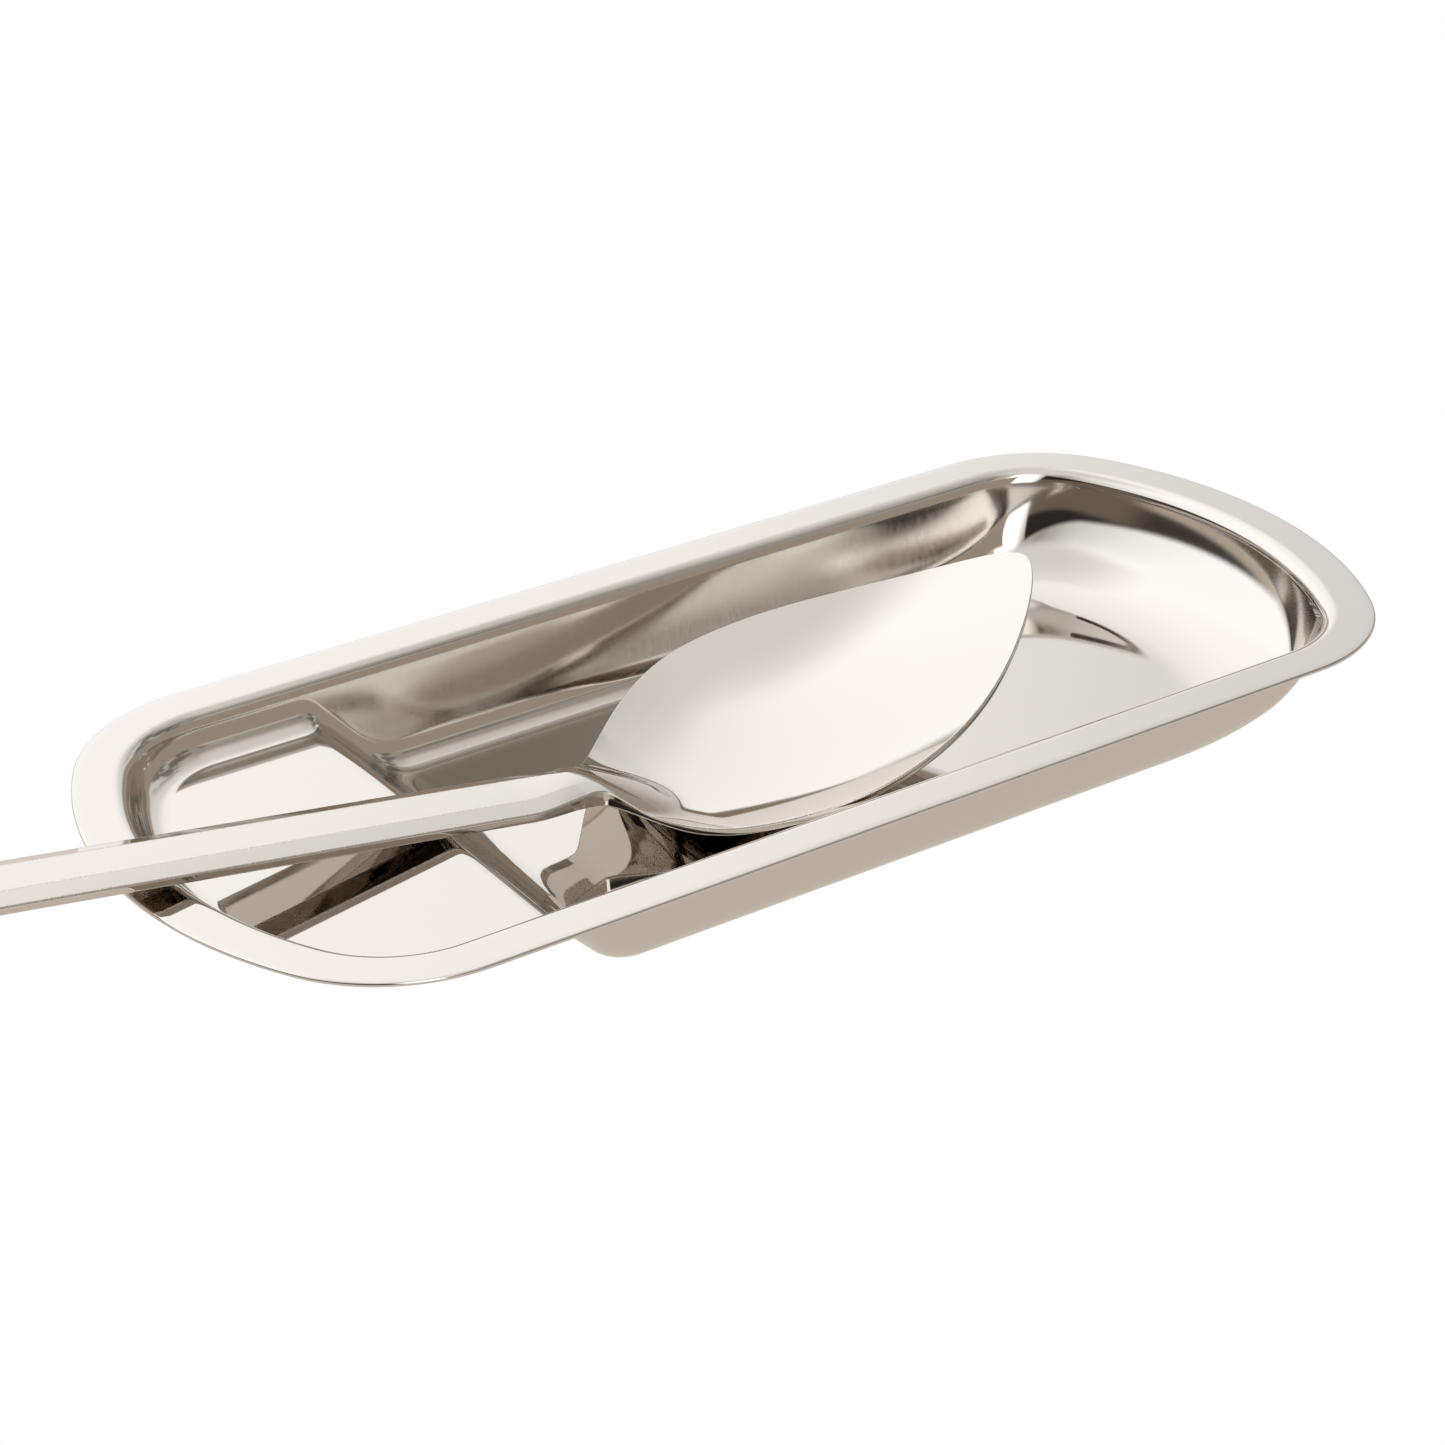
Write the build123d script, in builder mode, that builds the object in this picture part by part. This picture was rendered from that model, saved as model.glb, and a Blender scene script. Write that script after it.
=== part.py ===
"""Stepped spoon rest: one pressed stainless tray with a table spoon lying in it.

The tray is a single pressing: a flat flange, a shallow shelf at the -X end that the spoon's handle
crosses, a ramp, and a deep well whose +X end sweeps up in a large scoop. The spoon is one forging.

Frame: X along the tray, +X towards the scoop; Y across; +Z up. The origin is on the underside of the
well floor, in the middle of the tray, so the tray stands on the plane Z = 0. Millimetres.
"""

import os
from math import atan2, cos, radians, sin, tan

from build123d import *

# ---- tray: driving dimensions -------------------------------------------------------------------
tray_length = 180.0  # over the flange, along X
tray_width = 78.6  # over the flange, along Y
corner_radius = 22.5  # flange corners, seen from above
end_radius = 56.0  # bowed ends of the flange, seen from above
sheet = 0.6  # steel sheet thickness
flange_width = 5.0  # flat part of the flange
flange_bend = 2.2  # top radius where the flange turns down into the walls
well_depth = 14.0  # flange top to well floor
shelf_depth = 5.35  # flange top to shelf floor
wall_draft = 13.0  # walls lean out by this many degrees from vertical
shelf_edge_x = -49.0  # where the shelf floor starts to turn down
ramp_angle = 46.0  # slope of the ramp from shelf to well
ramp_top_radius = 3.0  # outer radius at the top of the ramp, on the upper face
ramp_foot_radius = 8.0  # radius at the foot of the ramp, on the upper face
floor_fillet = 4.4  # radius between the walls and the floors, on the upper face
scoop_radius = 22.5  # radius that sweeps up from the well floor at the +X end
scoop_reach = 4.0  # the scoop's circle would stand this far outside the wall's top edge

# ---- spoon: driving dimensions ------------------------------------------------------------------
bowl_tip_x = 44.7  # where the bowl ends, along the spoon's axis
bowl_neck_x = -25.2  # where the handle turns down into the bowl
bowl_half_width = 23.2  # widest half breadth of the bowl
bowl_wide_x = 5.0  # where the bowl is widest
bowl_low_x = -11.0  # where the bowl is lowest
bowl_taper = 0.425  # 0 gives the bowl an elliptical outline; more draws both its ends in
bowl_lift_x = -12.0  # the hollow starts to climb to the neck here
bowl_lift = 4.0  # and has climbed this much at the neck
bowl_cross_radius = 52.0  # curvature of the bowl's hollow across the spoon
bowl_long_radius = 84.0  # curvature of the bowl's hollow along the spoon
bowl_sheet = 1.1  # metal thickness of the bowl
spoon_offset = 0.1  # the spoon's axis lies this far to +Y of the tray's
neck_width = 7.2  # handle breadth at the neck
neck_thickness = 3.0  # handle thickness at the neck
handle_slope = 9.0  # the handle climbs towards its end at this many degrees
dip_angle = 30.0  # the spine dips from the neck into the bowl at this many degrees
handle_width = 11.8  # breadth of the handle's even part
handle_thickness = 2.45  # thickness where the handle reaches that breadth
widening_length = 12.0  # the handle widens from the neck over this length
handle_length = 133.0  # from the neck to the end of the handle
handle_end_width = 18.0  # breadth near the end of the handle
handle_end_thickness = 2.0  # thickness at the end of the handle
rest_gap = 0.2  # clearance between the spoon and the tray that carries it

# ---- worked out ---------------------------------------------------------------------------------
flange_top = well_depth + sheet
floor_top = sheet
shelf_top = flange_top - shelf_depth
lean = radians(wall_draft)
wall_inset = flange_width + flange_bend * tan((radians(90.0) - lean) / 2)
ramp_step = shelf_top - floor_top
ramp_run = ramp_step / tan(radians(ramp_angle))
ramp_bend = tan(radians(ramp_angle / 2))
ramp_start = shelf_edge_x + ramp_top_radius * ramp_bend
scoop_centre_x = tray_length / 2 - end_radius
scoop_wall = end_radius - wall_inset + scoop_reach

# The handle lies on the round at the top of the ramp, which its straight underside touches.
climb = radians(handle_slope)
crest_z = shelf_top - ramp_top_radius
under_level = shelf_edge_x * sin(climb) + crest_z * cos(climb) + ramp_top_radius + rest_gap


def under_z(x: float) -> float:
    """Return the height of the handle's straight underside above x."""
    return (under_level - x * sin(climb)) / cos(climb)


def hollow_z(x: float, y: float) -> float:
    """Return the height of the bowl's hollow face at x along and y across the spoon."""
    lowest = floor_top + rest_gap + bowl_sheet
    along = (x - bowl_low_x) ** 2 / (2 * bowl_long_radius)
    rise = max(0.0, (bowl_lift_x - x) / (bowl_lift_x - bowl_neck_x))
    return lowest + along + y**2 / (2 * bowl_cross_radius) + bowl_lift * rise**2


def bowl_half(x: float) -> float:
    """Return the half breadth of the bowl at x along the spoon: a tapered ellipse, nothing at both ends."""
    end_x = bowl_tip_x if x > bowl_wide_x else bowl_neck_x
    share = (x - bowl_wide_x) / (end_x - bowl_wide_x)
    return bowl_half_width * max(0.0, 1 - share**2) ** 0.5 * (1 - bowl_taper * share**2)


def handle_half(x: float) -> float:
    """Return the half breadth of the handle at x along the spoon, x being left of the neck."""
    reach = (bowl_neck_x - x) / handle_length
    spread = min(1.0, max(0.0, (reach - 0.58) / 0.39))
    flare = (handle_end_width - handle_width) * spread**2 * (3 - 2 * spread)
    grown = min(1.0, max(0.0, (bowl_neck_x - x) / widening_length))
    widening = (handle_width - neck_width) * grown**2 * (3 - 2 * grown)
    return (neck_width + widening + flare) / 2


def outline(inset: float) -> Sketch:
    """Return the tray's outline moved inwards by inset: straight sides, bowed ends, round corners."""
    half_length = tray_length / 2 - inset
    half_width = tray_width / 2 - inset
    corner = corner_radius - inset
    bow = end_radius - inset
    # The corner arc touches the side and the bowed end, so its centre lies bow - corner from the bow's.
    centre_y = half_width - corner
    reach = ((bow - corner) ** 2 - centre_y**2) ** 0.5
    centre_x = half_length - bow + reach
    turn = atan2(centre_y, reach)
    join_x = centre_x + corner * cos(turn)
    join_y = centre_y + corner * sin(turn)
    middle = (turn + radians(90)) / 2
    mid_x = centre_x + corner * cos(middle)
    mid_y = centre_y + corner * sin(middle)
    with BuildSketch() as shape:
        with BuildLine():
            Line((-centre_x, half_width), (centre_x, half_width))
            ThreePointArc((centre_x, half_width), (mid_x, mid_y), (join_x, join_y))
            ThreePointArc((join_x, join_y), (half_length, 0), (join_x, -join_y))
            ThreePointArc((join_x, -join_y), (mid_x, -mid_y), (centre_x, -half_width))
            Line((centre_x, -half_width), (-centre_x, -half_width))
            ThreePointArc((-centre_x, -half_width), (-mid_x, -mid_y), (-join_x, -join_y))
            ThreePointArc((-join_x, -join_y), (-half_length, 0), (-join_x, join_y))
            ThreePointArc((-join_x, join_y), (-mid_x, mid_y), (-centre_x, half_width))
        make_face()
    return shape.sketch


def floor_ring(edges: ShapeList, low: float) -> list:
    """Return the edges where the walls meet the shelf, the ramp, the well floor and the scoop."""
    ring = []
    for edge in edges:
        box = edge.bounding_box()
        upright = box.max.Z > flange_top - 0.5
        crosswise = box.size.X < 0.001 and box.size.Y > tray_width / 2
        scoop_foot = box.max.Z < low + 0.001 and box.size.X > 1 and box.size.Y > tray_width / 2
        if not (upright or crosswise or scoop_foot):
            ring.append(edge)
    return ring


def pan(grow: float) -> Part:
    """Return the solid that fills the tray up to the flange's top plane, grown by grow on every face.

    It is the drafted well, cut off below by the stepped floor (shelf, ramp, well floor) and at the
    +X end by the scoop. Grown by nothing it is the inside of the pressing, grown by the sheet the outside.
    """
    low = floor_top - grow
    far = tray_length
    with BuildPart() as body:
        with BuildSketch(Plane.XY.offset(flange_top)):
            add(outline(wall_inset - grow / cos(lean)))
        extrude(amount=-(flange_top - low), taper=wall_draft)
    with BuildPart() as steps:
        with BuildSketch(Plane.XZ) as line:
            with BuildLine():
                Polyline(
                    (-far, shelf_top - grow),
                    (ramp_start - grow * ramp_bend, shelf_top - grow),
                    (ramp_start + ramp_run - grow * ramp_bend, low),
                    (far, low),
                    (far, far),
                    (-far, far),
                    close=True,
                )
            make_face()
            inside = line.vertices().filter_by_position(Axis.X, -far + 1, far - 1)
            fillet(inside.sort_by(Axis.Y)[0], ramp_foot_radius + grow)
            inside = line.vertices().filter_by_position(Axis.X, -far + 1, far - 1)
            fillet(inside.sort_by(Axis.Y)[-1], ramp_top_radius - grow)
        extrude(amount=tray_width, both=True)
    with BuildPart() as scoop:
        with BuildSketch(Plane.XY.offset(low)):
            with Locations((scoop_centre_x, 0)):
                Circle(scoop_wall + grow)
        extrude(amount=far)
        fillet(scoop.edges().group_by(Axis.Z)[0], scoop_radius + grow)
        with BuildSketch(Plane.XY.offset(low)):
            with Locations((scoop_centre_x - far, 0)):
                Rectangle(2 * far, 2 * tray_width)
        extrude(amount=far)
    with BuildPart() as whole:
        add(body.part)
        add(steps.part, mode=Mode.INTERSECT)
        add(scoop.part, mode=Mode.INTERSECT)
        fillet(floor_ring(whole.edges(), low), floor_fillet + grow)
    return whole.part


def bowl() -> Part:
    """Return the bowl, level with the spoon's axis along X: a doubly curved sheet cut to an egg."""
    rows = 31
    cols = 21
    first = bowl_neck_x - 3
    last = bowl_tip_x + 3
    wide = bowl_half_width + 3
    grid = []
    for i in range(rows):
        x = first + (last - first) * i / (rows - 1)
        grid.append([Vector(x, wide * (2 * j / (cols - 1) - 1), 0) for j in range(cols)])
    grid = [[Vector(p.X, p.Y, hollow_z(p.X, p.Y)) for p in row] for row in grid]
    hollow = Face.make_surface_from_array_of_points(grid)
    steps = 24
    edge = []
    for i in range(steps + 1):
        x = bowl_neck_x + (bowl_tip_x - bowl_neck_x) * (1 - cos(radians(180) * i / steps)) / 2
        edge.append((x, bowl_half(x)))
    with BuildPart() as shell:
        extrude(hollow, amount=bowl_sheet, dir=(0, 0, -1))
        with BuildSketch(mode=Mode.PRIVATE) as egg:
            with BuildLine():
                Spline(*edge)
                Spline(*[(x, -y) for x, y in edge])
            make_face()
        extrude(egg.sketch, amount=tray_length, mode=Mode.INTERSECT)
    return shell.part


def handle() -> Part:
    """Return the handle and the spine that carries it down into the bowl, with the axis along X."""
    end_x = bowl_neck_x - handle_length
    even_x = bowl_neck_x - widening_length
    neck_top = under_z(bowl_neck_x) + neck_thickness
    dip_run = (neck_top - hollow_z(bowl_low_x, 0)) / tan(radians(dip_angle))
    foot_x = bowl_neck_x + dip_run
    foot_z = hollow_z(foot_x, 0) - bowl_sheet / 2
    root_x = bowl_neck_x + dip_run / 2
    root_z = hollow_z(root_x, 0) - bowl_sheet
    steps = 20
    edge = []
    for i in range(steps + 1):
        x = end_x + (handle_end_width / 2) + (handle_length - handle_end_width / 2) * i / steps
        edge.append((x, handle_half(x)))
    blade = handle_half(edge[0][0])
    with BuildPart() as bar:
        with BuildSketch(Plane.XZ):
            with BuildLine():
                Polyline(
                    (end_x, under_z(end_x)),
                    (bowl_neck_x, under_z(bowl_neck_x)),
                    (root_x, root_z),
                    (foot_x, foot_z),
                    (bowl_neck_x, neck_top),
                    (even_x, under_z(even_x) + handle_thickness),
                    (end_x, under_z(end_x) + handle_end_thickness),
                    close=True,
                )
            make_face()
        extrude(amount=tray_width, both=True)
        with BuildSketch(mode=Mode.PRIVATE) as plan:
            with BuildLine():
                Line((foot_x, -neck_width / 4), (foot_x, neck_width / 4))
                Line((foot_x, neck_width / 4), edge[-1])
                Spline(*edge)
                ThreePointArc(edge[0], (edge[0][0] - blade, 0), (edge[0][0], -blade))
                Spline(*[(x, -y) for x, y in edge])
                Line((edge[-1][0], -edge[-1][1]), (foot_x, -neck_width / 4))
            make_face()
        extrude(plan.sketch, amount=tray_length, mode=Mode.INTERSECT)
    return bar.part


def bend_edges(edges: ShapeList, level: float, inset: float) -> list:
    """Return the edges lying at one level, at least inset inside the flange's outline."""
    found = []
    for edge in edges:
        box = edge.bounding_box()
        flat = abs(box.min.Z - level) < 0.001 and abs(box.max.Z - level) < 0.001
        inside = box.max.X < tray_length / 2 - inset and box.min.X > -tray_length / 2 + inset
        within = box.max.Y < tray_width / 2 - inset and box.min.Y > -tray_width / 2 + inset
        if flat and inside and within:
            found.append(edge)
    return found


with BuildPart() as tray:
    with BuildSketch(Plane.XY.offset(flange_top - sheet)):
        add(outline(0.0))
    extrude(amount=sheet)
    add(pan(sheet))
    add(pan(0.0), mode=Mode.SUBTRACT)
    fillet(bend_edges(tray.edges(), flange_top, flange_width / 2), flange_bend)
    fillet(bend_edges(tray.edges(), flange_top - sheet, flange_width / 2), flange_bend - sheet)
tray.part.label = "tray"

with BuildPart() as spoon:
    with Locations((0, spoon_offset, 0)):
        add(bowl())
        add(handle())
spoon.part.label = "spoon"

os.makedirs("parts", exist_ok=True)
export_step(tray.part, "parts/tray.step")
export_step(spoon.part, "parts/spoon.step")

bend_gap = under_z(flange_width - tray_length / 2) - flange_top
print(f"spoon length {bowl_tip_x - bowl_neck_x + handle_length:.1f}, over the flange bend by about {bend_gap:.2f}")
print(f"flange top {flange_top:.2f}, shelf {shelf_top:.2f}, handle underside at the neck {under_z(bowl_neck_x):.2f}")
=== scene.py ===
"""Looks of the stepped spoon rest and its table spoon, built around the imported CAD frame.

Two pieces, each a closed numpy surface that stands for its CAD node: the pressed tray, whose surface is a
height worked out from the distance to its outline and from its stepped floor, and the forged spoon, a run of
cross-sections along its axis. Lengths are in millimetres until a mesh is written, which is in metres.
"""

import logging
from dataclasses import dataclass
from enum import Enum

import bmesh
import bpy
import numpy as np
from mathutils import Matrix


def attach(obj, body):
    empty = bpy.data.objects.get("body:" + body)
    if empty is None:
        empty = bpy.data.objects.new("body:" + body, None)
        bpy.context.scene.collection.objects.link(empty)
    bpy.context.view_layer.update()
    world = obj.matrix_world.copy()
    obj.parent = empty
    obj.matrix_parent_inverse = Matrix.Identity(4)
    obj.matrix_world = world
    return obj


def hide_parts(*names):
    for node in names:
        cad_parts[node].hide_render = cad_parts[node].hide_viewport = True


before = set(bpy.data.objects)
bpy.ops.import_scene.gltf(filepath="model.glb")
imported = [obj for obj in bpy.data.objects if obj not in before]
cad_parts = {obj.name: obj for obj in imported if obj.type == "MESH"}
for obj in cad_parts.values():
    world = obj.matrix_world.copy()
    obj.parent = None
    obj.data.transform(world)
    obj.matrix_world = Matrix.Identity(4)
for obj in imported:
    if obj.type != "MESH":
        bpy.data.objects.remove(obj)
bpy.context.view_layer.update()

MM = 0.001

# A colour Mix node's sockets share their names with its other kinds, so they are met by number.
MIX_A, MIX_B, MIX_RESULT = 6, 7, 2
log = logging.getLogger("spoon_rest")


# ---- meshes -------------------------------------------------------------------------------------


def smooth_step(x: np.ndarray, start: float, end: float) -> np.ndarray:
    """Return 0 before start, 1 after end, and the cubic 3t^2 - 2t^3 between them."""
    t = np.clip((x - start) / (end - start), 0.0, 1.0)
    return t * t * (3 - 2 * t)


def soft_max(a: np.ndarray, b: np.ndarray, width: float) -> np.ndarray:
    """Return the larger of a and b, rounded where they are within width of each other."""
    return 0.5 * (a + b + np.sqrt((a - b) ** 2 + width**2))


def spaced(start: float, end: float, step: float) -> np.ndarray:
    """Return evenly spaced values from start to end, no further apart than step."""
    return np.linspace(start, end, max(2, int(np.ceil(abs(end - start) / step)) + 1))


def joined(*runs: np.ndarray) -> np.ndarray:
    """Return runs of values as one array, with the shared ends of neighbours kept once."""
    return np.concatenate([runs[0]] + [run[1:] for run in runs[1:]])


def grid_faces(index: np.ndarray) -> list:
    """Return the quads of a grid of vertex numbers; a quad with a repeated corner is a triangle."""
    quads = np.stack([index[:-1, :-1], index[1:, :-1], index[1:, 1:], index[:-1, 1:]], axis=-1).reshape(-1, 4)
    same = (quads == np.roll(quads, -1, axis=1)).sum(axis=1)
    faces = quads[same == 0].tolist()
    faces += [list(dict.fromkeys(quad)) for quad in quads[same == 1].tolist()]
    return faces


def make_piece(name: str, points: np.ndarray, faces: list) -> bpy.types.Object:
    """Make a closed, smooth mesh object from points in millimetres.

    Args:
        name: The object's name.
        points: Vertices, one row each, in millimetres in the part's frame.
        faces: Vertex numbers of each face.

    Returns:
        The new object, at the origin, with its faces pointing outwards.
    """
    mesh = bpy.data.meshes.new(name)
    mesh.from_pydata((points * MM).tolist(), [], faces)
    work = bmesh.new()
    work.from_mesh(mesh)
    bmesh.ops.remove_doubles(work, verts=work.verts, dist=0.0005 * MM)
    bmesh.ops.recalc_face_normals(work, faces=work.faces)
    work.to_mesh(mesh)
    work.free()
    mesh.polygons.foreach_set("use_smooth", np.ones(len(mesh.polygons), bool))
    mesh.update()
    piece = bpy.data.objects.new(name, mesh)
    bpy.context.scene.collection.objects.link(piece)
    return piece


# ---- materials ----------------------------------------------------------------------------------


def linear(hex_colour: str) -> tuple[float, float, float, float]:
    """Return an sRGB hex colour, such as 'd8d4cf', as linear red, green, blue and alpha."""
    values = [int(hex_colour[i : i + 2], 16) / 255 for i in (0, 2, 4)]
    red, green, blue = [v / 12.92 if v <= 0.04045 else ((v + 0.055) / 1.055) ** 2.4 for v in values]
    return red, green, blue, 1.0


def add_node(tree: bpy.types.NodeTree, kind: str, links: dict | None = None, **settings) -> bpy.types.Node:
    """Add one shader node.

    Args:
        tree: The node tree to add to.
        kind: The node's type name, such as 'ShaderNodeTexNoise'.
        links: Input name or number to the output socket that feeds it, or to the value it is set to.
        settings: Properties of the node itself.

    Returns:
        The new node.
    """
    node = tree.nodes.new(kind)
    for key, value in settings.items():
        setattr(node, key, value)
    for key, value in (links or {}).items():
        if isinstance(value, bpy.types.NodeSocket):
            tree.links.new(value, node.inputs[key])
        else:
            node.inputs[key].default_value = value
    return node


class Grain(Enum):
    """What the second, rougher surface of a piece looks like."""

    DRAWN = "fine lines up the walls, where the sheet slid through the press tool"
    GROUND = "coarse grit left on the edges by the grinding belt"


@dataclass(frozen=True)
class PolishedSteel:
    """18/8 stainless steel, buffed to a mirror except in one zone of the piece, which keeps its grain.

    The mesh's "zone" attribute is 0 on the mirror and 1 in the zone.
    """

    name: str
    grain: Grain
    grain_mm: float
    grain_height_mm: float
    zone_roughness: float
    roughness: float = 0.045
    colour: str = "d6d1cb"
    wave_mm: float = 16.0
    wave_height_mm: float = 0.006

    def build(self) -> bpy.types.Material:
        """Return the material."""
        material = bpy.data.materials.new(self.name)
        material.use_nodes = True
        tree = material.node_tree
        shader = tree.nodes["Principled BSDF"]
        shader.inputs["Metallic"].default_value = 1.0
        shader.inputs["Base Color"].default_value = linear(self.colour)
        place = add_node(tree, "ShaderNodeTexCoord").outputs["Object"]
        zone = add_node(tree, "ShaderNodeAttribute", attribute_name="zone").outputs["Fac"]
        # Noise has about one bump a unit, so metres are scaled by 1000 / size. Drawn lines run upright.
        stretch = 0.03 if self.grain is Grain.DRAWN else 1.0
        size = 1000 / self.grain_mm
        scaled = add_node(tree, "ShaderNodeMapping", {"Vector": place, "Scale": (size, size, size * stretch)})
        grit = add_node(tree, "ShaderNodeTexNoise", {"Vector": scaled.outputs[0], "Scale": 1.0, "Detail": 3.0})
        lit = add_node(tree, "ShaderNodeMath", {0: grit.outputs[0], 1: 0.8}, operation="MULTIPLY")
        lit = add_node(tree, "ShaderNodeMath", {0: lit.outputs[0], 1: 0.6}, operation="ADD")
        rough = add_node(tree, "ShaderNodeMath", {0: lit.outputs[0], 1: self.zone_roughness}, operation="MULTIPLY")
        roughness = add_node(tree, "ShaderNodeMapRange", {0: zone, 3: self.roughness, 4: rough.outputs[0]})
        tree.links.new(roughness.outputs[0], shader.inputs["Roughness"])
        wave = add_node(tree, "ShaderNodeTexNoise", {"Vector": place, "Scale": 1000 / self.wave_mm, "Detail": 0.0})
        waves = add_node(
            tree, "ShaderNodeBump", {"Height": wave.outputs[0], "Distance": self.wave_height_mm * MM, "Strength": 1.0}
        )
        bump = add_node(
            tree,
            "ShaderNodeBump",
            {
                "Height": grit.outputs[0],
                "Distance": self.grain_height_mm * MM,
                "Strength": zone,
                "Normal": waves.outputs[0],
            },
        )
        tree.links.new(bump.outputs[0], shader.inputs["Normal"])
        return material


def mark_zone(piece: bpy.types.Object, values: np.ndarray) -> None:
    """Store a value between 0 and 1 for each vertex as the piece's "zone" attribute."""
    zone = piece.data.attributes.new("zone", "FLOAT", "POINT")
    zone.data.foreach_set("value", np.clip(values, 0, 1).astype(np.float32))


# ---- the tray -----------------------------------------------------------------------------------


@dataclass
class Tray:
    """The pressed tray: flange, shelf, ramp, well and scooped end, one sheet of steel."""

    length: float = 180.0
    width: float = 78.6
    corner: float = 22.5
    bow: float = 56.0
    sheet: float = 0.6
    flange: float = 5.0
    bend: float = 2.2
    depth: float = 14.0
    shelf_depth: float = 5.35
    draft: float = 13.0
    shelf_edge: float = -49.0
    ramp_angle: float = 46.0
    ramp_top: float = 3.0
    ramp_foot: float = 8.0
    fillet: float = 4.4
    scoop: float = 22.5
    scoop_reach: float = 4.0
    ring_depth: float = 17.0

    def __post_init__(self) -> None:
        """Work out the heights, angles and centres that the sizes give."""
        self.top = self.depth + self.sheet
        self.floor = self.sheet
        self.shelf = self.top - self.shelf_depth
        self.lean = np.radians(self.draft)
        self.half_lean = np.tan((np.pi / 2 - self.lean) / 2)
        self.inset = self.flange + self.bend * self.half_lean
        self.corner_y = self.width / 2 - self.corner
        self.bow_x = self.length / 2 - self.bow
        reach = np.sqrt((self.bow - self.corner) ** 2 - self.corner_y**2)
        self.corner_x = self.bow_x + reach
        self.turn = np.arctan2(self.corner_y, reach)
        self.scoop_start = self.bow - self.inset + self.scoop_reach - self.scoop
        ramp = np.radians(self.ramp_angle)
        self.ramp_x = np.zeros(4)
        self.ramp_x[0] = self.shelf_edge
        self.ramp_x[1] = self.ramp_x[0] + self.ramp_top * np.sin(ramp)
        fall = self.shelf - self.floor - (self.ramp_top + self.ramp_foot) * (1 - np.cos(ramp))
        self.ramp_x[2] = self.ramp_x[1] + fall / np.tan(ramp)
        self.ramp_x[3] = self.ramp_x[2] + self.ramp_foot * np.sin(ramp)

    def inward(self, x: np.ndarray, y: np.ndarray) -> np.ndarray:
        """Return how far inside the flange's outline each point is.

        The outline is straight sides, bowed ends and round corners, so the distance is the least of those
        to the side and to the bow, or to the corner's arc within the corner's sector.
        """
        ax = np.abs(x)
        ay = np.abs(y)
        side = self.width / 2 - ay
        bow = self.bow - np.hypot(ax - self.bow_x, ay)
        corner = self.corner - np.hypot(ax - self.corner_x, ay - self.corner_y)
        angle = np.arctan2(ay - self.corner_y, ax - self.corner_x)
        in_corner = (ax >= self.corner_x) & (angle >= self.turn)
        return np.where(in_corner, corner, np.minimum(side, bow))

    def floor_height(self, x: np.ndarray, y: np.ndarray) -> np.ndarray:
        """Return the height of the stepped floor: shelf, round, ramp, round, well floor, and the scoop.

        The scoop is a circle of radius scoop turned about the upright axis through the bow's centre.
        """
        ramp = np.radians(self.ramp_angle)
        x0, x1, x2, x3 = self.ramp_x
        crest = self.shelf - self.ramp_top + np.sqrt(np.maximum(self.ramp_top**2 - (x - x0) ** 2, 0))
        slope = self.shelf - self.ramp_top * (1 - np.cos(ramp)) - (x - x1) * np.tan(ramp)
        foot = self.floor + self.ramp_foot - np.sqrt(np.maximum(self.ramp_foot**2 - (x3 - x) ** 2, 0))
        steps = np.select([x <= x0, x <= x1, x <= x2, x <= x3], [self.shelf, crest, slope, foot], self.floor)
        reach = np.hypot(np.maximum(x - self.bow_x, 0), y) - self.scoop_start
        reach = np.clip(reach, 0, self.scoop)
        return steps + self.scoop - np.sqrt(self.scoop**2 - reach**2)

    def height(self, x: np.ndarray, y: np.ndarray) -> np.ndarray:
        """Return the height of the tray's upper face: flange, bend, drafted wall, fillet and floor."""
        d = self.inward(x, y)
        floor = self.floor_height(x, y)
        bend = self.top - self.bend + np.sqrt(np.maximum(self.bend**2 - (d - self.flange) ** 2, 0))
        wall = self.top - (d - self.inset) / np.tan(self.lean)
        foot = self.inset + (self.top - floor) * np.tan(self.lean) + self.fillet * self.half_lean
        near = foot - d
        round_ = floor + self.fillet - np.sqrt(np.maximum(self.fillet**2 - near**2, 0))
        bend_end = self.flange + self.bend * np.cos(self.lean)
        low = np.select([near <= 0, near <= self.fillet * np.cos(self.lean)], [floor, round_], wall)
        return np.select([d <= self.flange, d <= bend_end], [self.top, bend], low)

    def normals(self, x: np.ndarray, y: np.ndarray) -> np.ndarray:
        """Return the upper face's upward unit normals, from the height's central differences."""
        h = 0.002
        gx = (self.height(x + h, y) - self.height(x - h, y)) / (2 * h)
        gy = (self.height(x, y + h) - self.height(x, y - h)) / (2 * h)
        n = np.stack([-gx, -gy, np.ones_like(gx)], axis=-1)
        return n / np.linalg.norm(n, axis=-1, keepdims=True)

    def side_columns(self) -> np.ndarray:
        """Return the places along X of the columns between the corners, closest together at the ramp."""
        x0, x1, x2, x3 = self.ramp_x
        return joined(
            spaced(-self.corner_x, x0 - 1, 1.6),
            spaced(x0 - 1, x0, 0.34),
            spaced(x0, x1, 0.14),
            spaced(x1, x2, 0.5),
            spaced(x2, x3, 0.2),
            spaced(x3, x3 + 1, 0.34),
            spaced(x3 + 1, self.bow_x, 2.2),
            spaced(self.bow_x, self.corner_x, 1.1),
        )

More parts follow.
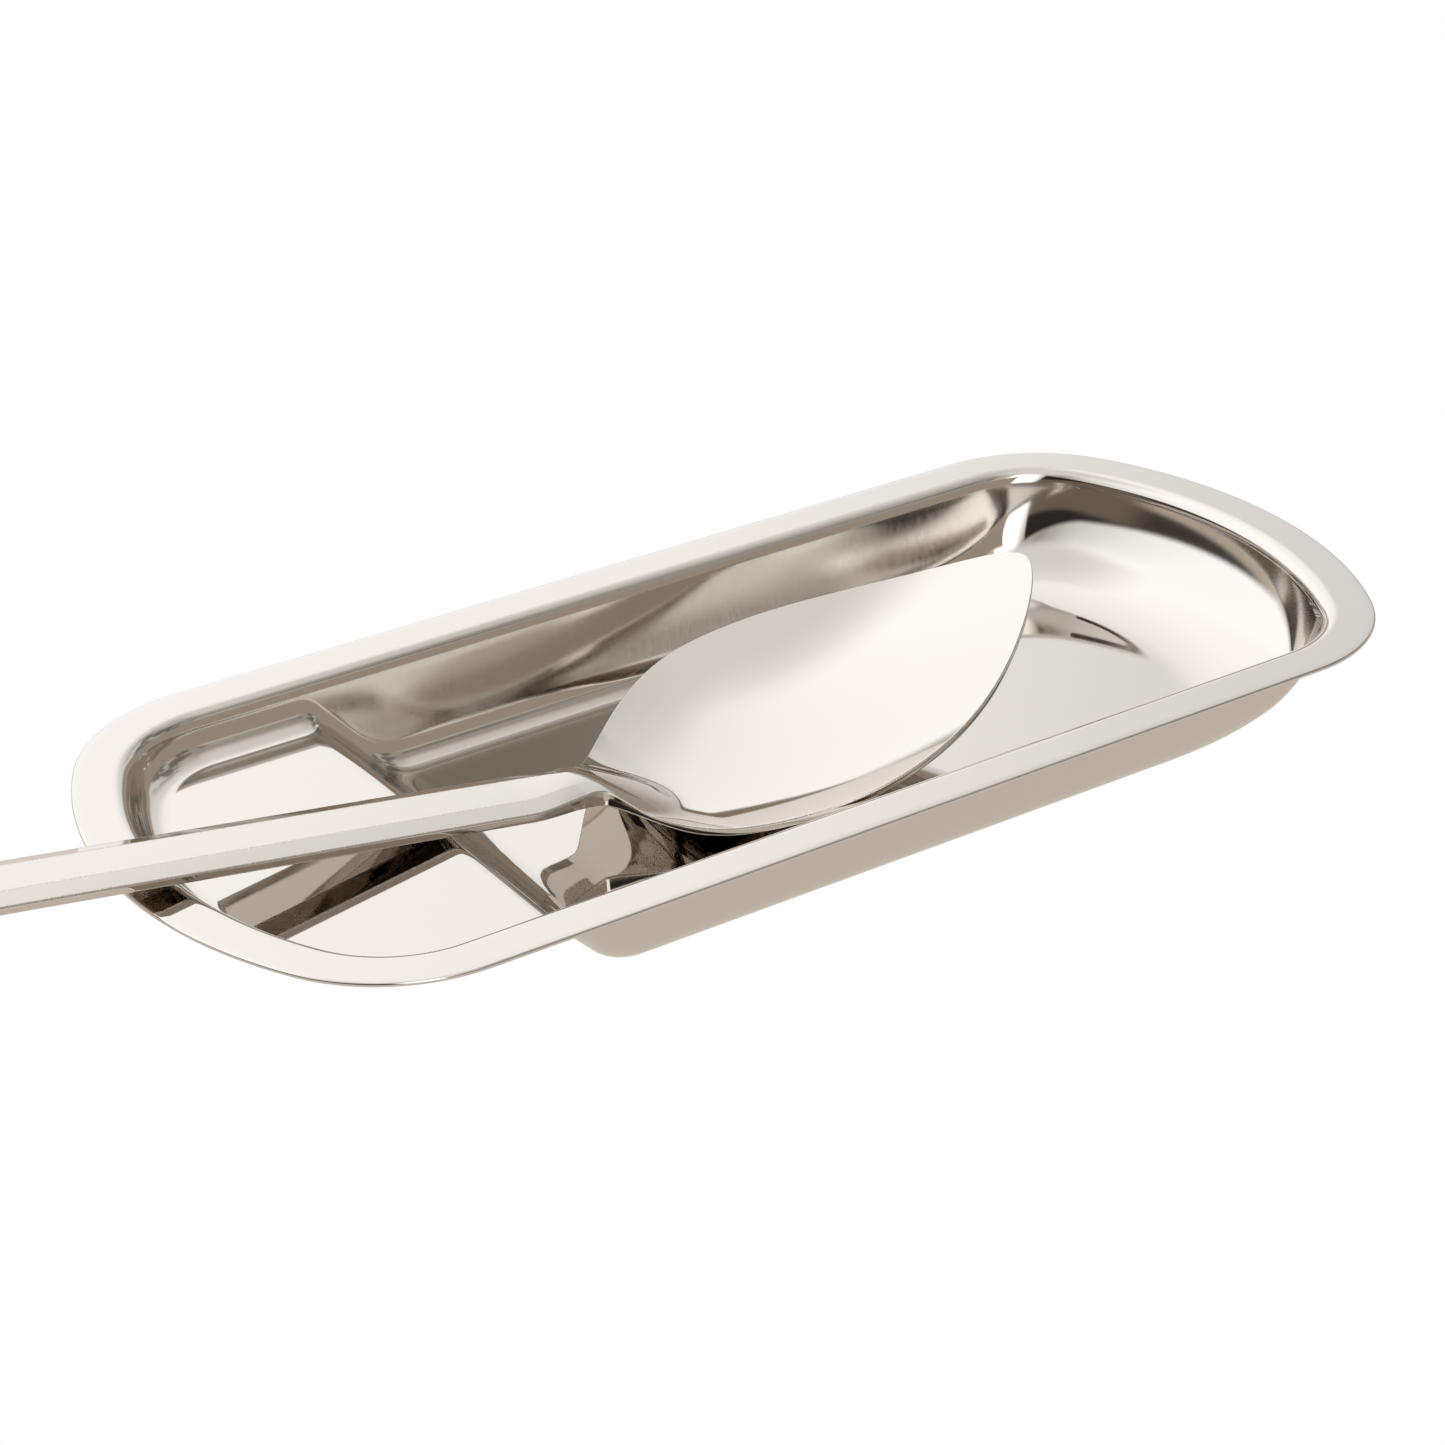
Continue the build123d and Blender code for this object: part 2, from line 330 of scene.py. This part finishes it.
    def outline(self) -> tuple[np.ndarray, np.ndarray, np.ndarray]:
        """Return the base points of the outline's run round the tray, and their inward normals.

        Returns:
            Points, normals, and the number of points in each of the four runs: near side, +X end, far side,
            -X end. Each run starts where the one before it ends.
        """
        x = self.side_columns()
        turns = spaced(-np.pi / 2, -self.turn, np.radians(2.6))
        caps = spaced(-self.turn, self.turn, np.radians(1.1))
        angles = joined(turns, caps, -turns[::-1])
        direction = np.stack([np.cos(angles), np.sin(angles)], axis=1)
        in_cap = (np.abs(angles) < self.turn - 1e-9)[:, None]
        corner_y = np.where(angles < 0, -self.corner_y, self.corner_y)
        corners = np.stack([np.full_like(angles, self.corner_x), corner_y], axis=1)
        cap = np.array([self.bow_x, 0.0]) + self.bow * direction
        end = np.where(in_cap, cap, corners + self.corner * direction)
        near = np.stack([x, np.full_like(x, -self.width / 2)], axis=1)
        near_in = np.tile([0.0, 1.0], (len(x), 1))
        points = np.concatenate([near[:-1], end[:-1], -near[:-1], -end[:-1]])
        inwards = np.concatenate([near_in[:-1], -direction[:-1], -near_in[:-1], direction[:-1]])
        counts = np.array([len(x) - 1, len(end) - 1, len(x) - 1, len(end) - 1])
        return points, inwards, counts

    def ring_depths(self, floor: np.ndarray) -> np.ndarray:
        """Return the insets at which the ring round the tray is sampled, for each height of floor met.

        They bunch at the bend and at the fillet, whose place follows the floor's height.
        """
        bend_end = self.flange + self.bend * np.cos(self.lean)
        foot = self.inset + (self.top - floor) * np.tan(self.lean) + self.fillet * self.half_lean
        round_start = foot - self.fillet * np.cos(self.lean)
        count = len(floor)
        flat = joined(np.array([self.sheet / 2, 1.2]), np.array([1.2, 2.9, self.flange - 0.35, self.flange - 0.1]))
        arc = np.linspace(0, np.pi / 2 - self.lean, 13)
        bend = self.flange + self.bend * np.sin(arc)
        wall = np.linspace(0, 1, 9)[1:]
        turn = np.linspace(np.pi / 2 - self.lean, 0, 13)[1:]
        last = np.array([0.12, 0.5, 1.6])
        runs = [
            np.tile(flat, (count, 1)),
            np.tile(bend, (count, 1)),
            bend_end + (round_start - bend_end)[:, None] * wall,
            foot[:, None] - self.fillet * np.sin(turn),
            foot[:, None] + last,
            np.full((count, 1), self.ring_depth),
        ]
        return np.concatenate(runs, axis=1)

    def build(self) -> bpy.types.Object:
        """Build the tray as one closed sheet.

        The upper face is a ring that follows the outline, from the rim past the walls' feet, and within it a
        grid of rows across the tray, whose columns are the ring's own. Each end is filled by lines that run
        from the last straight column to the ring. The lower face is the upper one moved one sheet along its
        normals, and a half-round edge joins them.
        """
        base, inwards, counts = self.outline()
        total = len(base)
        probe = base + inwards * (self.inset + self.depth * np.tan(self.lean) + self.fillet * self.half_lean)
        depths = self.ring_depths(self.floor_height(probe[:, 0], probe[:, 1]))
        ring = base[:, None, :] + inwards[:, None, :] * depths[:, :, None]
        plan = [ring.reshape(-1, 2)]
        ring_index = np.arange(total * depths.shape[1]).reshape(total, -1)
        used = ring_index.size
        wrap = np.concatenate([ring_index, ring_index[:1]])
        faces = grid_faces(wrap)

        starts = np.concatenate([[0], np.cumsum(counts)])
        inner = np.concatenate([ring_index[:, -1], ring_index[:1, -1]])
        near = inner[starts[0] : starts[1] + 1]
        right = inner[starts[1] : starts[2] + 1]
        far = inner[starts[2] : starts[3] + 1][::-1]
        left = inner[starts[3] : starts[4] + 1][::-1]
        points = plan[0]
        rows = len(right)
        share = (1 - np.cos(np.linspace(0, np.pi, rows))) / 2
        low = points[near]
        high = points[far]
        centre = low[:, None, :] + (high - low)[:, None, :] * share[None, :, None]
        index = np.zeros((len(near), rows), int)
        index[:, 0] = near
        index[:, -1] = far
        index[:, 1:-1] = used + np.arange(len(near) * (rows - 2)).reshape(len(near), -1)
        plan.append(centre[:, 1:-1].reshape(-1, 2))
        used += len(near) * (rows - 2)
        faces += grid_faces(index)
        for column, edge, steps in ((index[-1], right, 16), (index[0], left, 12)):
            all_points = np.concatenate(plan)
            a = all_points[column]
            b = all_points[edge]
            t = np.linspace(0, 1, steps + 1)[1:-1]
            lines = a[None] + (b - a)[None] * t[:, None, None]
            block = np.zeros((steps + 1, rows), int)
            block[0] = column
            block[-1] = edge
            block[:, 0] = column[0]
            block[:, -1] = column[-1]
            block[1:-1, 1:-1] = used + np.arange((steps - 1) * (rows - 2)).reshape(steps - 1, -1)
            plan.append(lines[:, 1:-1].reshape(-1, 2))
            used += (steps - 1) * (rows - 2)
            faces += grid_faces(block)

        xy = np.concatenate(plan)
        upper = np.column_stack([xy, self.height(xy[:, 0], xy[:, 1])])
        lower = upper - self.normals(xy[:, 0], xy[:, 1]) * self.sheet
        lower_faces = [[v + used for v in face] for face in faces]

        turn = np.linspace(0, np.pi, 9)[1:-1]
        radius = self.sheet / 2
        out = radius - radius * np.sin(turn)
        rise = self.top - radius + radius * np.cos(turn)
        edge_xy = base[:, None, :] + inwards[:, None, :] * out[None, :, None]
        edge_z = np.broadcast_to(rise[None, :, None], (total, len(turn), 1))
        edge_points = np.concatenate([edge_xy, edge_z], axis=2).reshape(-1, 3)
        edge_index = 2 * used + np.arange(total * len(turn)).reshape(total, -1)
        edge_index = np.column_stack([ring_index[:, 0], edge_index, ring_index[:, 0] + used])
        edge_faces = grid_faces(np.concatenate([edge_index, edge_index[:1]]))
        points = np.concatenate([upper, lower, edge_points])
        piece = make_piece("pressed_tray", points, faces + lower_faces + edge_faces)
        mark_zone(piece, self.wall_share(piece))
        return piece

    def wall_share(self, piece: bpy.types.Object) -> np.ndarray:
        """Return 1 at the tray's vertices on the upright walls, and 0 on its flange and floors."""
        count = len(piece.data.vertices)
        normals = np.zeros(count * 3)
        piece.data.vertex_normals.foreach_get("vector", normals)
        points = np.zeros(count * 3)
        piece.data.vertices.foreach_get("co", points)
        points = points.reshape(-1, 3) / MM
        upright = 1 - smooth_step(np.abs(normals.reshape(-1, 3)[:, 2]), 0.3, 0.6)
        return upright * smooth_step(self.inward(points[:, 0], points[:, 1]), self.flange, self.flange + 1)


# ---- the spoon ----------------------------------------------------------------------------------


@dataclass
class Spoon:
    """The forged table spoon: a pointed egg of a bowl, a neck that dips into it and a bar of a handle."""

    tray: Tray
    tip: float = 44.7
    neck: float = -25.2
    half_width: float = 23.2
    wide: float = 5.0
    taper: float = 0.425
    low: float = -11.0
    lift_start: float = -12.0
    lift: float = 4.0
    cross_radius: float = 52.0
    long_radius: float = 84.0
    metal: float = 1.1
    gap: float = 0.2
    offset: float = 0.1
    neck_width: float = 7.2
    neck_thickness: float = 3.0
    dip: float = 30.0
    rise: float = 9.0
    width: float = 11.8
    thickness: float = 2.45
    widening: float = 12.0
    ridge: float = 3.0
    bevel_near: float = 8.0
    bevel_far: float = 18.0
    bevel_under: float = 12.0
    handle: float = 133.0
    end_width: float = 18.0
    end_thickness: float = 2.0
    edge_round: float = 0.3

    def __post_init__(self) -> None:
        """Work out the handle's level: its underside touches the round at the top of the ramp."""
        tray = self.tray
        self.slope = np.radians(self.rise)
        crest_z = tray.shelf - tray.ramp_top
        touch = tray.shelf_edge * np.sin(self.slope) + crest_z * np.cos(self.slope)
        self.level = touch + tray.ramp_top + self.gap
        self.end = self.neck - self.handle

    def under(self, x: np.ndarray) -> np.ndarray:
        """Return the height of the handle's straight underside."""
        return (self.level - x * np.sin(self.slope)) / np.cos(self.slope)

    def hollow(self, x: np.ndarray, y: np.ndarray) -> np.ndarray:
        """Return the height of the bowl's hollow: parabolas across and along, climbing to the neck."""
        lowest = self.tray.floor + self.gap + self.metal
        along = (x - self.low) ** 2 / (2 * self.long_radius)
        rise = np.maximum(0, (self.lift_start - x) / (self.lift_start - self.neck))
        return lowest + along + y**2 / (2 * self.cross_radius) + self.lift * rise**2

    def grown(self, x: np.ndarray) -> np.ndarray:
        """Return 0 at the neck and 1 where the handle has reached its even breadth."""
        return smooth_step(self.neck - x, 0.0, self.widening)

    def bar(self, x: np.ndarray) -> np.ndarray:
        """Return the handle's half breadth: narrow at the neck, even, then flared towards the end."""
        reach = np.clip((self.neck - x) / self.handle, 0, 1)
        even = self.neck_width + (self.width - self.neck_width) * self.grown(x)
        return (even + (self.end_width - self.width) * smooth_step(reach, 0.58, 0.97)) / 2

    def ridge_at(self, x: np.ndarray) -> np.ndarray:
        """Return how far from its middle the handle's top turns down into its bevels."""
        return self.ridge * self.bar(x) / (self.width / 2)

    def half_breadth(self, x: np.ndarray) -> np.ndarray:
        """Return the spoon's half breadth: an ellipse tapered to a soft point, run into the handle."""
        end = np.where(x > self.wide, self.tip, self.neck)
        share = np.clip(np.abs((x - self.wide) / (end - self.wide)), 0, 1)
        bowl = self.half_width * np.sqrt(1 - share**2) * (1 - self.taper * share**2)
        bar = self.bar(x)
        blend = soft_max(bowl, bar, 2.2)
        near_neck = smooth_step(x, self.neck - 14, self.neck) * (1 - smooth_step(x, self.neck + 5, self.wide))
        plain = np.where(x < self.neck, bar, bowl)
        body = plain + (blend - plain) * near_neck
        round_end = self.end_width / 2
        left = np.clip((x - self.end) / round_end, 0, 1)
        return np.where(x < self.end + round_end, body * np.sqrt(1 - (1 - left) ** 2), body)

    def stations(self) -> np.ndarray:
        """Return the places along the spoon's axis of its cross-sections, bunched at both ends."""
        blade = self.end_width / 2
        quarter = np.linspace(0, np.pi / 2, 15)[1:]
        start = self.end + blade * (1 - np.cos(quarter))
        nose = 7.0
        stop = self.tip - nose + nose * np.sin(np.linspace(0, np.pi / 2, 22)[:-1])
        return joined(
            start,
            spaced(start[-1], self.neck - 14, 1.6),
            spaced(self.neck - 14, self.neck + 16, 0.4),
            spaced(self.neck + 16, stop[0], 0.8),
            stop,
        )

    def section(self, x: np.ndarray, v: np.ndarray) -> tuple[np.ndarray, np.ndarray, np.ndarray]:
        """Return the breadth, upper and lower heights at x along the spoon and share v across it.

        The upper face is the hollow, or the handle's crowned top where that stands higher: the top runs
        straight to the neck, rounds over and dips into the hollow as a ridge. The lower face is the
        handle's straight underside, which runs into the hollow's own shape one metal thickness down.
        """
        half = self.half_breadth(x)
        y = half * v
        reach = np.clip((self.neck - x) / self.handle, 0, 1)
        grown = self.grown(x)
        past_ridge = np.maximum(np.abs(y) - self.ridge_at(x), 0) * smooth_step(self.neck - x, -1.0, 5.0)
        slopes = np.where(y < 0, self.bevel_near, self.bevel_far)
        thick = self.neck_thickness + (self.thickness - self.neck_thickness) * grown
        thick += (self.end_thickness - self.thickness) * reach
        thick -= past_ridge * np.tan(np.radians(slopes))
        past = x - self.neck
        fall = np.tan(np.radians(self.dip)) - np.tan(self.slope)
        bend = 0.5 * (past + np.sqrt(past**2 + 3.0**2)) * fall
        crown = np.maximum((0.35 - 0.3 * grown) * (1 - (y / self.bar(x)) ** 2), -6)
        top = self.under(x) + thick - bend + crown
        hollow = self.hollow(x, y)
        bowl_part = smooth_step(x, self.neck - 3, self.neck + 1)
        upper = top + (soft_max(hollow, top, 0.5) - top) * bowl_part
        merge = smooth_step(x, self.neck - 4, self.neck + 9)
        lower = self.under(x) + (hollow - self.metal - self.under(x)) * merge
        lower += past_ridge * np.tan(np.radians(self.bevel_under))
        return y, upper, lower

    def build(self) -> bpy.types.Object:
        """Build the spoon from closed cross-sections along its axis, with a pole at each end.

        Each section is the upper face, a side land with a small round above and below it, the lower face
        and the other side land.
        """
        x = self.stations()
        across = np.sin(np.linspace(-np.pi / 2, np.pi / 2, 61))
        share = self.ridge / (self.width / 2)
        beside = 0.02
        ridges = [-share - beside, -share, -share + beside, share, share + beside]
        across = np.unique(np.concatenate([across, ridges]))
        grid_x, grid_v = np.meshgrid(x, across, indexing="ij")
        y, upper, lower = self.section(grid_x, grid_v)
        half = np.maximum(self.half_breadth(x), 1e-6)[:, None]
        small = np.minimum(self.edge_round, half / 3)
        y = y * (half - small) / half
        turn = np.linspace(0, np.pi / 2, 6)[None, 1:]
        out = half - small + small * np.sin(turn)
        drop = small * (1 - np.cos(turn))
        top = np.stack([grid_x, y, upper], axis=-1)
        bottom = np.stack([grid_x, y, lower], axis=-1)[:, ::-1]
        along = np.broadcast_to(x[:, None], out.shape)
        lands = []
        for side, column in ((1, -1), (-1, 0)):
            above = np.stack([along, side * out, upper[:, column, None] - drop], axis=-1)
            below = np.stack([along, side * out, lower[:, column, None] + drop], axis=-1)
            lands.append((above, below))
        right = np.concatenate([lands[0][0], lands[0][1][:, ::-1]], axis=1)
        left = np.concatenate([lands[1][1], lands[1][0][:, ::-1]], axis=1)
        rings = np.concatenate([top, right, bottom, left], axis=1)
        ends = []
        for place in (self.end, self.tip):
            _, high, low = self.section(np.array([place]), np.zeros(1))
            ends.append([place, 0.0, (high[0] + low[0]) / 2])
        index = np.arange(rings.shape[0] * rings.shape[1]).reshape(rings.shape[:2])
        index = np.column_stack([index, index[:, :1]])
        faces = grid_faces(index)
        first = rings.shape[0] * rings.shape[1]
        for pole, ring in ((first, index[0]), (first + 1, index[-1])):
            faces += [[pole, int(a), int(b)] for a, b in zip(ring[:-1], ring[1:])]
        points = np.concatenate([rings.reshape(-1, 3), np.array(ends)])
        points[:, 1] += self.offset
        piece = make_piece("forged_spoon", points, faces)
        mark_zone(piece, self.edge_share(piece))
        return piece

    def edge_share(self, piece: bpy.types.Object) -> np.ndarray:
        """Return 1 at the spoon's vertices on the two corners of its edge, and 0 on its faces and lands."""
        points = np.zeros(len(piece.data.vertices) * 3)
        piece.data.vertices.foreach_get("co", points)
        points = points.reshape(-1, 3) / MM
        half = self.half_breadth(points[:, 0])
        inside = half - np.abs(points[:, 1] - self.offset)
        corners = smooth_step(inside, 0.0, 0.03) * (1 - smooth_step(inside, 0.25, 0.35))
        ridge = np.abs(half - inside - self.ridge_at(points[:, 0])) < 0.25
        return np.maximum(corners, ridge * self.grown(points[:, 0]))


# ---- the studio ---------------------------------------------------------------------------------


@dataclass
class Studio:
    """A white sweep and soft light, with dark and warm cards that only the steel's reflections see."""

    floor_size: float = 3.0
    floor_painted_shadow: str = "ddd3c8"
    panel_foot: float = 0.12
    front_foot: float = 0.15
    edge_softness: float = 0.045
    climb_left: float = 2.1
    climb_right: float = 1.5
    # Where the panel's edge starts to climb on each side, as a share of the turn from -Y through -X.
    left_turn: float = 0.444
    right_turn: float = 0.55
    lens_mm: float = 87.0
    sensor_mm: float = 36.0
    lens_shift: tuple = (-0.0209, -0.0292)
    # Azimuth, brightness and warmth of the room and its panels, all the way round.
    round_the_room: tuple = (
        (-180, 2.1, 0.0),
        (-160, 1.8, 0.0),
        (-148, 0.6, 0.5),
        (-125, 0.45, 0.5),
        (-100, 0.85, 0.0),
        (-75, 1.27, -0.1),
        (-50, 1.48, -0.1),
        (-5, 1.50, -0.1),
        (22, 1.36, 0.0),
        (34, 1.26, 0.0),
        (44, 0.98, 0.0),
        (55, 0.88, 0.1),
        (80, 0.68, 0.3),
        (105, 0.52, 0.6),
        (122, 0.40, 0.8),
        (138, 0.42, 0.8),
        (150, 0.62, 1.0),
        (161, 0.66, 1.0),
        (167, 1.9, 0.0),
        (180, 2.1, 0.0),
    )

    def floor(self) -> None:
        """Lay a pale floor, glowing white to the camera, with a painted shadow near the set that only the steel sees.
        """
        half = self.floor_size / 2
        mesh = bpy.data.meshes.new("floor")
        corners = [[-half, -half, 0], [half, -half, 0], [half, half, 0], [-half, half, 0]]
        mesh.from_pydata(corners, [], [[0, 1, 2, 3]])
        piece = bpy.data.objects.new("floor", mesh)
        bpy.context.scene.collection.objects.link(piece)
        material = bpy.data.materials.new("pale_floor")
        material.use_nodes = True
        tree = material.node_tree
        tree.nodes.remove(tree.nodes["Principled BSDF"])
        # Painted shadow: seen in the steel, the floor is tan near the set, as if in its shade, and pale further off.
        place = add_node(tree, "ShaderNodeTexCoord").outputs["Object"]
        scaled = add_node(tree, "ShaderNodeMapping", {"Vector": place, "Scale": (1 / 0.115, 1 / 0.06, 1.0)})
        away = add_node(tree, "ShaderNodeVectorMath", {0: scaled.outputs[0]}, operation="LENGTH")
        share = add_node(tree, "ShaderNodeMapRange", {0: away.outputs["Value"], 1: 1.0, 2: 3.0})
        pale = linear("ffffff")
        # near is the painted shadow's colour next to the set; the mix below fades it to white with distance.
        near = linear(self.floor_painted_shadow)
        painted_shadow_glow = add_node(
            tree, "ShaderNodeMix", {0: share.outputs[0], MIX_A: near, MIX_B: pale}, data_type="RGBA"
        )
        path = add_node(tree, "ShaderNodeLightPath")
        seen = add_node(
            tree,
            "ShaderNodeMix",
            {0: path.outputs["Is Camera Ray"], MIX_A: painted_shadow_glow.outputs[MIX_RESULT], MIX_B: pale},
            data_type="RGBA",
        )
        light = add_node(tree, "ShaderNodeEmission", {"Color": seen.outputs[MIX_RESULT], "Strength": 1.0})
        tree.links.new(light.outputs[0], tree.nodes["Material Output"].inputs["Surface"])
        mesh.materials.append(material)

    def sky(self) -> None:
        """Light the set from all round: white to the eye, and a studio to the steel.

        The steel sees a big soft panel behind and above the set, whose lower edge climbs to both sides;
        a dark room below that edge, with the camera in it; a dim warm room on the right; and a bright
        panel in front. Directions are given by their azimuth, 0 behind the set (+Y) and 90 to the right
        (+X), and their height.
        """
        world = bpy.data.worlds.new("studio")
        bpy.context.scene.world = world
        world.use_nodes = True
        tree = world.node_tree
        tree.nodes.clear()

        place = add_node(tree, "ShaderNodeTexCoord").outputs["Generated"]
        split = add_node(tree, "ShaderNodeSeparateXYZ", {"Vector": place})
        height = split.outputs["Z"]
        angle = add_node(
            tree, "ShaderNodeMath", {0: split.outputs["X"], 1: split.outputs["Y"]}, operation="ARCTAN2"
        ).outputs[0]
        full = 2 * np.pi
        turn = add_node(
            tree, "ShaderNodeMath", {0: angle, 1: 1 / full, 2: 0.5}, operation="MULTIPLY_ADD"
        ).outputs[0]

        # The panel's lower edge: level behind the set, climbing to the left and right, and low in front.
        lifts = []
        sides = ((-1.0, self.left_turn, self.climb_left), (1.0, self.right_turn, self.climb_right))
        for sign, start, climb in sides:
            links = {0: turn, 1: sign, 2: -sign * start}
            past = add_node(tree, "ShaderNodeMath", links, operation="MULTIPLY_ADD").outputs[0]
            past = add_node(tree, "ShaderNodeMath", {0: past, 1: 0.0}, operation="MAXIMUM").outputs[0]
            lifts.append(add_node(tree, "ShaderNodeMath", {0: past, 1: climb}, operation="MULTIPLY").outputs[0])
        lift = add_node(tree, "ShaderNodeMath", {0: lifts[0], 1: lifts[1]}, operation="ADD").outputs[0]
        edge = add_node(tree, "ShaderNodeMath", {0: lift, 1: self.panel_foot}, operation="ADD").outputs[0]
        smooth = {"interpolation_type": "SMOOTHSTEP"}
        front = add_node(tree, "ShaderNodeMapRange", {0: turn, 1: 0.10, 2: 0.06}, **smooth).outputs[0]
        edge = add_node(tree, "ShaderNodeMix", {0: front, 2: edge, 3: self.front_foot}).outputs[0]
        gap = add_node(tree, "ShaderNodeMath", {0: height, 1: edge}, operation="SUBTRACT").outputs[0]
        soft = self.edge_softness
        above = add_node(tree, "ShaderNodeMapRange", {0: gap, 1: -soft, 2: soft}, **smooth).outputs[0]

        room = add_node(tree, "ShaderNodeValToRGB", {"Fac": turn})
        elements = room.color_ramp.elements
        for azimuth, _, _ in self.round_the_room[1:-1]:
            elements.new((azimuth + 180) / 360)
        elements[0].position = 0.0
        elements[-1].position = 1.0
        for element, (_, value, warmth) in zip(elements, self.round_the_room):
            element.color = (value * (1 + 0.08 * warmth), value, value * (1 - 0.12 * warmth), 1.0)

        # Colours below the edge, laid one over the other; each share is a smooth step of height or turn.
        low = (0.62, 0.54, 0.45, 1.0)
        for value, start, end, colour in (
            (height, 0.12, 0.20, (0.06, 0.05, 0.045, 1.0)),
            (turn, 0.29, 0.25, (0.19, 0.155, 0.12, 1.0)),
        ):
            share = add_node(tree, "ShaderNodeMapRange", {0: value, 1: start, 2: end}, **smooth).outputs[0]
            low = add_node(tree, "ShaderNodeMix", {0: share, MIX_A: low, MIX_B: colour}, data_type="RGBA")
            low = low.outputs[MIX_RESULT]
        dark = add_node(tree, "ShaderNodeMapRange", {0: height, 1: 0.42, 2: 0.52}, **smooth).outputs[0]
        right = add_node(tree, "ShaderNodeMapRange", {0: turn, 1: 0.56, 2: 0.62}, **smooth).outputs[0]
        for share, colour in ((dark, (0.035, 0.03, 0.028, 1.0)), (right, (0.42, 0.36, 0.30, 1.0))):
            low = add_node(tree, "ShaderNodeMix", {0: share, MIX_A: low, MIX_B: colour}, data_type="RGBA")
            low = low.outputs[MIX_RESULT]

        # Dark patches in the room on the right, and a paler ceiling.
        cloud = add_node(tree, "ShaderNodeTexNoise", {"Vector": place, "Scale": 5.0, "Detail": 2.0}).outputs[0]
        patches = 0.75
        for value, start, end in (
            (cloud, 0.42, 0.62),
            (turn, 0.63, 0.72),
            (turn, 0.93, 0.88),
            (height, 0.85, 0.70),
        ):
            share = add_node(tree, "ShaderNodeMapRange", {0: value, 1: start, 2: end}, **smooth).outputs[0]
            patches = add_node(tree, "ShaderNodeMath", {0: share, 1: patches}, operation="MULTIPLY").outputs[0]
        ceiling = add_node(tree, "ShaderNodeMapRange", {0: height, 1: 0.84, 2: 0.97}, **smooth).outputs[0]
        high = room.outputs["Color"]
        for share, colour in ((patches, (0.10, 0.085, 0.07, 1.0)), (ceiling, (0.95, 0.94, 0.93, 1.0))):
            high = add_node(tree, "ShaderNodeMix", {0: share, MIX_A: high, MIX_B: colour}, data_type="RGBA")
            high = high.outputs[MIX_RESULT]
        seen = add_node(tree, "ShaderNodeMix", {0: above, MIX_A: low, MIX_B: high}, data_type="RGBA")
        seen = seen.outputs[MIX_RESULT]
        graded = add_node(tree, "ShaderNodeBackground", {"Color": seen, "Strength": 1.0})
        white = add_node(tree, "ShaderNodeBackground", {"Color": linear("ffffff"), "Strength": 1.0})
        path = add_node(tree, "ShaderNodeLightPath")
        eye = add_node(
            tree,
            "ShaderNodeMixShader",
            {0: path.outputs["Is Camera Ray"], 1: graded.outputs[0], 2: white.outputs[0]},
        )
        output = add_node(tree, "ShaderNodeOutputWorld", {"Surface": eye.outputs[0]})
        output.is_active_output = True

    def camera(self, target: tuple, back: float, azimuth: float, elevation: float, roll: float) -> None:
        """Place the camera.

        Args:
            target: The point that the view is measured from, in metres.
            back: The distance from it, in metres.
            azimuth: Degrees that the view is turned from looking along +Y; negative comes from -X.
            elevation: Degrees above the horizontal.
            roll: Degrees that the camera is rolled.
        """
        a, e, r = np.radians([azimuth, elevation, roll])
        away = np.array([np.sin(a) * np.cos(e), -np.cos(a) * np.cos(e), np.sin(e)])
        side = np.array([np.cos(a), np.sin(a), 0.0])
        up = np.cross(away, side)
        right = np.cos(r) * side + np.sin(r) * up
        top = -np.sin(r) * side + np.cos(r) * up
        data = bpy.data.cameras.new("camera")
        data.lens = self.lens_mm
        data.sensor_width = self.sensor_mm
        data.shift_x, data.shift_y = self.lens_shift
        data.clip_start = 0.01
        data.clip_end = 20.0
        piece = bpy.data.objects.new("camera", data)
        spot = np.array(target) + away * back
        matrix = np.eye(4)
        matrix[:3, 0] = right
        matrix[:3, 1] = top
        matrix[:3, 2] = away
        matrix[:3, 3] = spot
        bpy.context.scene.collection.objects.link(piece)
        piece.matrix_world = Matrix(matrix.tolist())
        bpy.context.scene.camera = piece


def main() -> None:
    """Build, dress and stage the spoon rest."""
    logging.basicConfig(level=logging.INFO, format="%(name)s: %(message)s")
    bpy.context.scene.view_settings.view_transform = "Standard"
    bpy.context.scene.cycles.glossy_bounces = 10
    tray = Tray()
    spoon = Spoon(tray)
    studio = Studio()
    # Bright-annealed sheet, pressed: mirror flange and floors, satin walls with draw lines.
    sheet = PolishedSteel("pressed_bright_annealed_stainless", Grain.DRAWN, 0.40, 0.0006, 0.13)
    # Forged bar, buffed on its faces; the trimmed edges were only ground.
    bar = PolishedSteel("forged_buffed_stainless", Grain.GROUND, 0.35, 0.05, 0.30)
    pieces = (
        (tray.build(), "tray", "tray_steel", sheet),
        (spoon.build(), "spoon", "spoon_steel", bar),
    )
    for piece, body, slot, finish in pieces:
        piece.data.materials.append(finish.build())
        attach(piece, body)
        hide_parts(body)
        log.info("%s: %d vertices, %d faces", piece.name, len(piece.data.vertices), len(piece.data.polygons))
    studio.floor()
    studio.sky()
    target = (0.0, 0.0, tray.top * MM)
    studio.camera(target, back=0.45113, azimuth=-34.99, elevation=27.80, roll=0.155)


if __name__ == "__main__":
    main()
